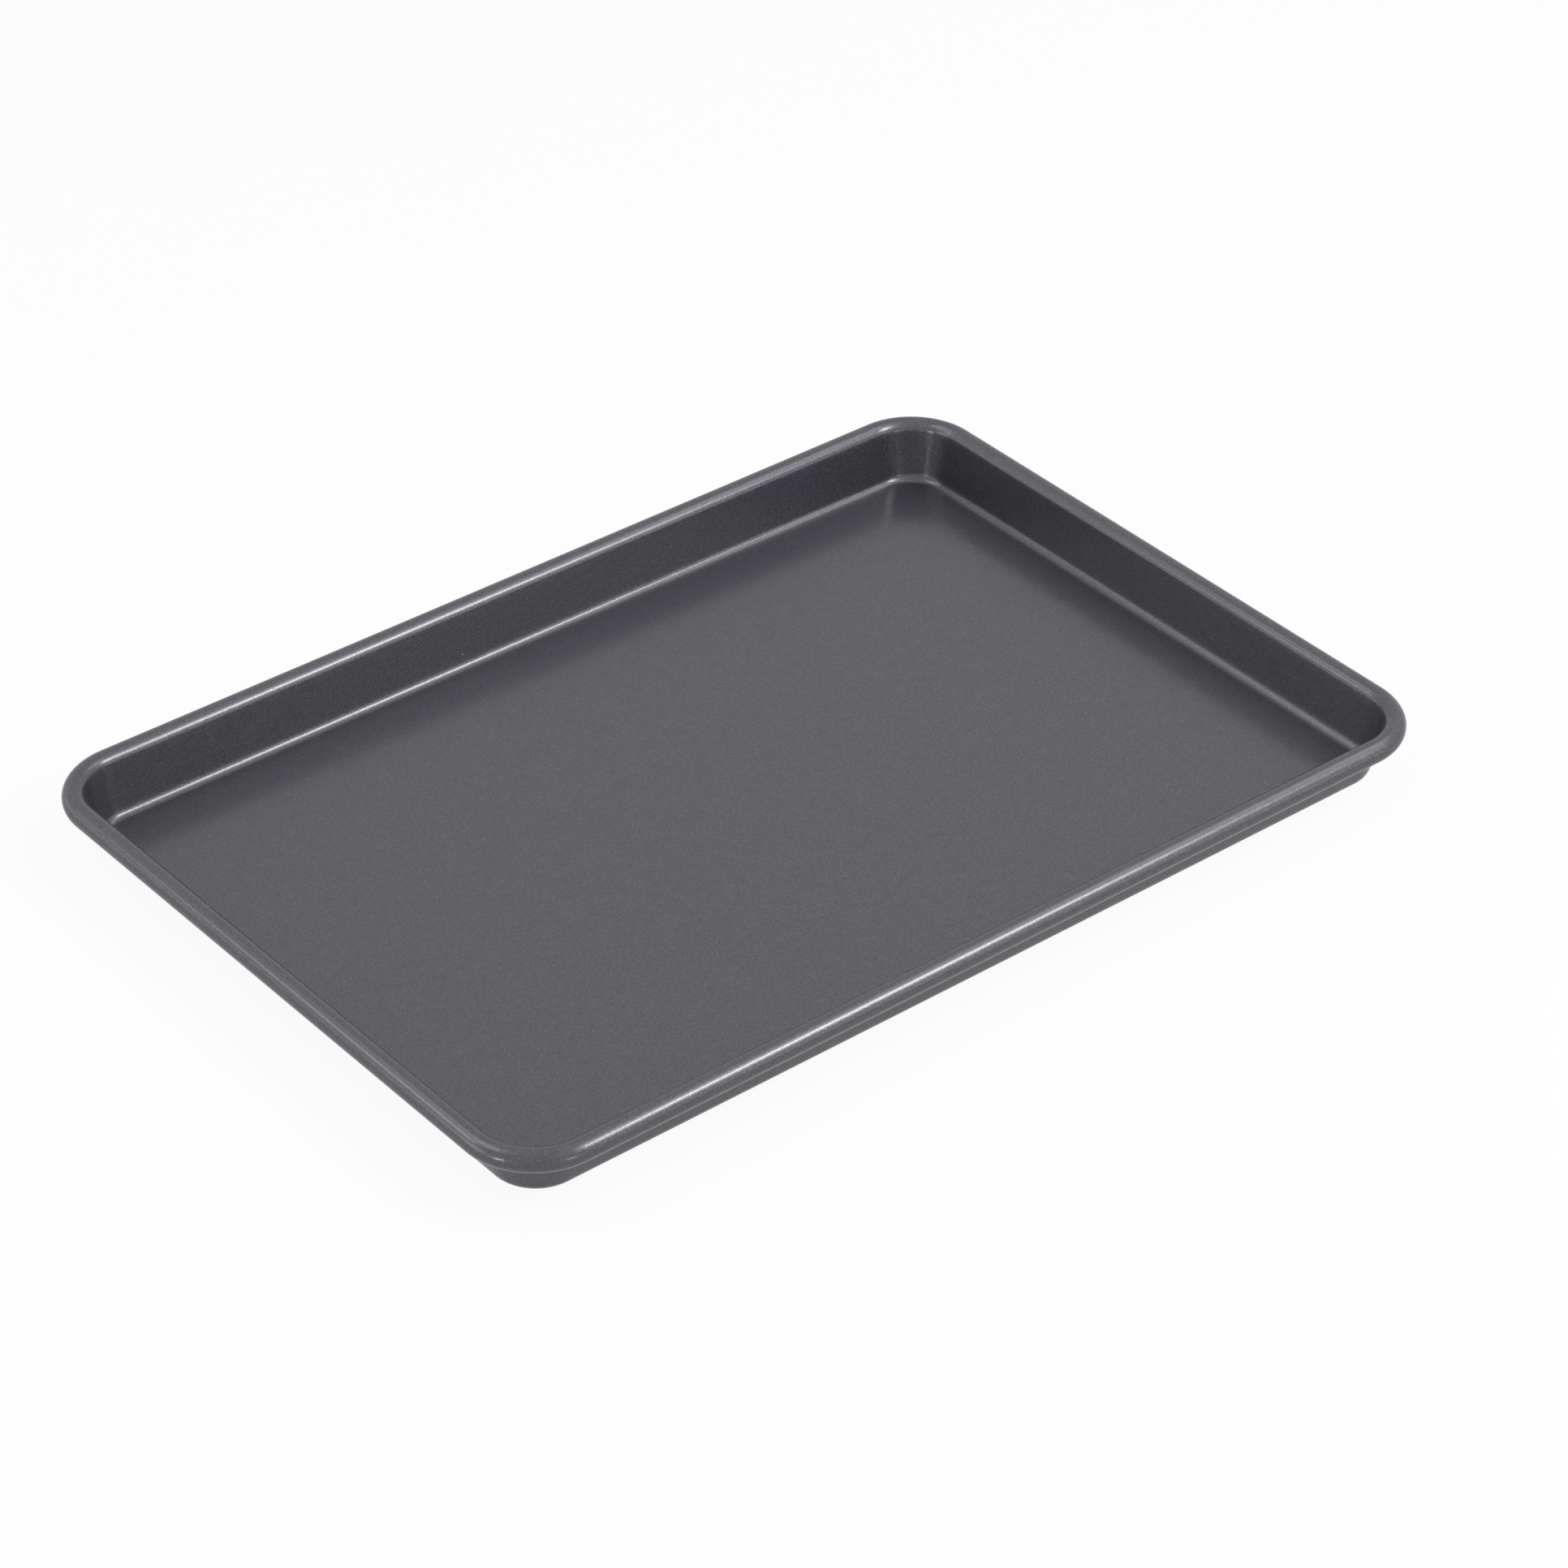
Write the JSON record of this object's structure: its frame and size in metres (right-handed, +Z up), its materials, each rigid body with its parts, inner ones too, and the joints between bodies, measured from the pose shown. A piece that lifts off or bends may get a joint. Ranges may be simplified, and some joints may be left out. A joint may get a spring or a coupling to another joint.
{
  "type": "jelly roll pan",
  "caption": "Shallow rectangular baking tray with sloped sides, rounded corners and a thick rolled rim with a wire inside.",
  "frame": {"origin": "middle of the flat underside, on the surface that the pan stands on", "axes": "+X along the pan's length, +Y across its width, +Z up out of its open top"},
  "size_m": [0.414, 0.2874, 0.0245],
  "materials": {
    "nonstick_coated_steel": "semi-gloss dark grey non-stick coating with fine metallic flake, on pressed steel sheet",
    "galvanised_wire": "dull zinc-coated round steel wire"
  },
  "bodies": {
    "root": {"pan_shell": "nonstick_coated_steel", "rim_wire": "galvanised_wire"}
  },
  "joints": []
}
